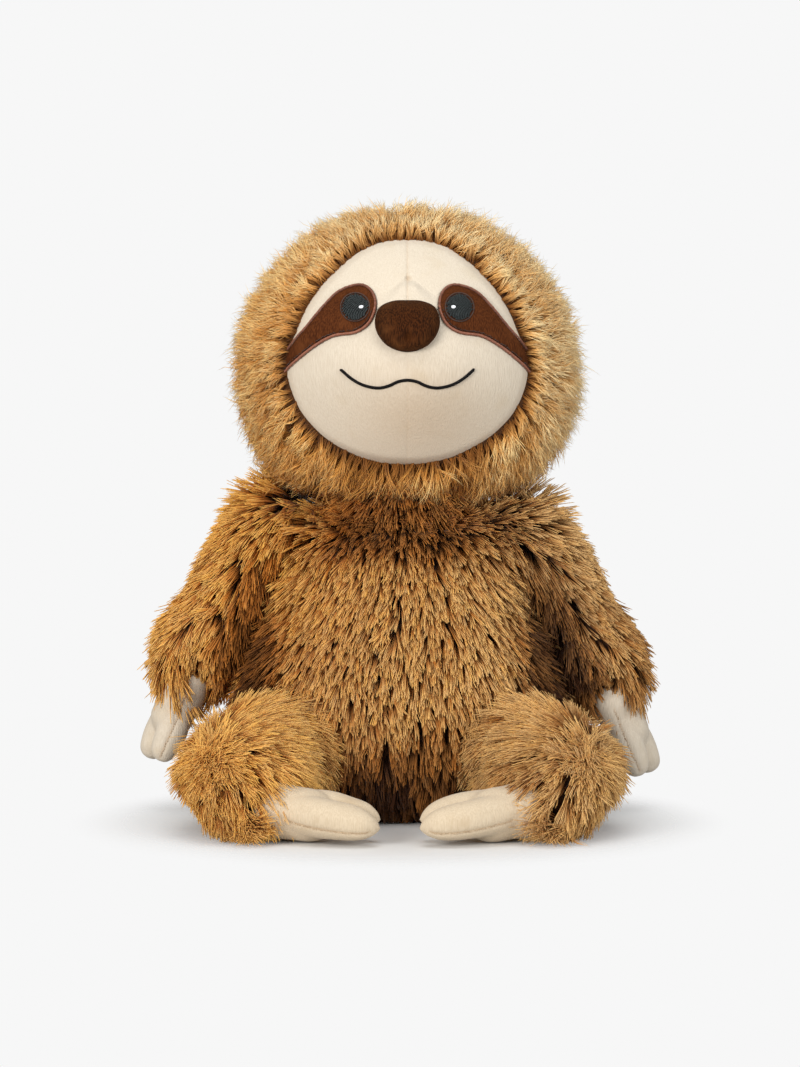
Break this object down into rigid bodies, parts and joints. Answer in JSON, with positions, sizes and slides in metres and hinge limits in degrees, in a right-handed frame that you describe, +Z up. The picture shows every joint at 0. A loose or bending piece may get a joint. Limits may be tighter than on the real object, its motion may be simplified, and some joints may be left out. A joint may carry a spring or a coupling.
{
  "type": "plush sloth",
  "caption": "Sitting plush sloth in long-pile fur with a cream face, hanging arms, bent legs and stuffed claws; its head, arms, legs, hands and feet bend at their seams.",
  "frame": {"origin": "on the floor, in the middle of the flat seat under the body", "axes": "+Z up, the face looks along -Y, +X is the toy's own left"},
  "size_m": [0.259, 0.1974, 0.3013],
  "materials": {
    "body_fur": "matte",
    "head_fur": "matte",
    "cream_velour": "matte",
    "brown_velour": "matte",
    "nose_velour": "matte",
    "satin_stitch": "satin",
    "eye_stitch": "satin",
    "white_stitch": "satin",
    "black_thread": "satin",
    "fibre": "matte",
    "bag_cloth": "matte"
  },
  "bodies": {
    "body": {"body_cover": "body_fur", "body_filling": "fibre", "pellet_bag": "bag_cloth"},
    "neck": {"neck_filling": "fibre"},
    "head": {"head_cover": "head_fur", "head_filling": "fibre", "face_right": "cream_velour", "face_left": "cream_velour", "eye_patch_right": "brown_velour", "eye_patch_left": "brown_velour", "patch_border_right": "satin_stitch", "patch_border_left": "satin_stitch", "eye_right": "eye_stitch", "eye_left": "eye_stitch", "catchlight_right": "white_stitch", "catchlight_left": "white_stitch", "nose": "nose_velour", "mouth": "black_thread"},
    "arm_right": {"arm_cover_right": "body_fur", "arm_filling_right": "fibre"},
    "arm_left": {"arm_cover_left": "body_fur", "arm_filling_left": "fibre"},
    "hand_right": {"hand_right": "cream_velour"},
    "hand_left": {"hand_left": "cream_velour"},
    "leg_right": {"leg_cover_right": "body_fur", "leg_filling_right": "fibre"},
    "leg_left": {"leg_cover_left": "body_fur", "leg_filling_left": "fibre"},
    "foot_right": {"foot_right": "cream_velour"},
    "foot_left": {"foot_left": "cream_velour"}
  },
  "joints": [
    {"name": "neck_turn", "type": "hinge", "parent": "body", "child": "neck", "pos_m": [0, 0, 0.152], "axis": [0, 0, 1], "range_deg": [-35, 35], "stiffness_Nm_per_rad": 0.3},
    {"name": "neck_nod", "type": "hinge", "parent": "neck", "child": "head", "pos_m": [0, 0, 0.152], "axis": [1, 0, 0], "range_deg": [-15, 18], "stiffness_Nm_per_rad": 0.9},
    {"name": "arm_lift_right", "type": "hinge", "parent": "body", "child": "arm_right", "pos_m": [-0.066, 0, 0.1445], "axis": [0, 1, 0], "range_deg": [0, 75], "stiffness_Nm_per_rad": 0.06},
    {"name": "arm_lift_left", "type": "hinge", "parent": "body", "child": "arm_left", "pos_m": [0.066, 0, 0.1375], "axis": [0, -1, 0], "range_deg": [0, 75], "stiffness_Nm_per_rad": 0.06},
    {"name": "wrist_bend_right", "type": "hinge", "parent": "arm_right", "child": "hand_right", "pos_m": [-0.10893, 0, 0.0585], "axis": [0, 1, 0], "range_deg": [-20, 20], "stiffness_Nm_per_rad": 0.02},
    {"name": "wrist_bend_left", "type": "hinge", "parent": "arm_left", "child": "hand_left", "pos_m": [0.10893, 0, 0.0515], "axis": [0, -1, 0], "range_deg": [-20, 20], "stiffness_Nm_per_rad": 0.02},
    {"name": "leg_lift_right", "type": "hinge", "parent": "body", "child": "leg_right", "pos_m": [-0.05248, -0.0416, 0.035], "axis": [-1, 0, 0], "range_deg": [-25, 25], "stiffness_Nm_per_rad": 0.3},
    {"name": "leg_lift_left", "type": "hinge", "parent": "body", "child": "leg_left", "pos_m": [0.05248, -0.0416, 0.035], "axis": [-1, 0, 0], "range_deg": [-25, 25], "stiffness_Nm_per_rad": 0.3},
    {"name": "ankle_bend_right", "type": "hinge", "parent": "leg_right", "child": "foot_right", "pos_m": [-0.061, -0.112, 0.0155], "axis": [0, -1, 0], "range_deg": [-15, 25], "stiffness_Nm_per_rad": 0.06},
    {"name": "ankle_bend_left", "type": "hinge", "parent": "leg_left", "child": "foot_left", "pos_m": [0.061, -0.112, 0.0155], "axis": [0, 1, 0], "range_deg": [-15, 25], "stiffness_Nm_per_rad": 0.06}
  ]
}
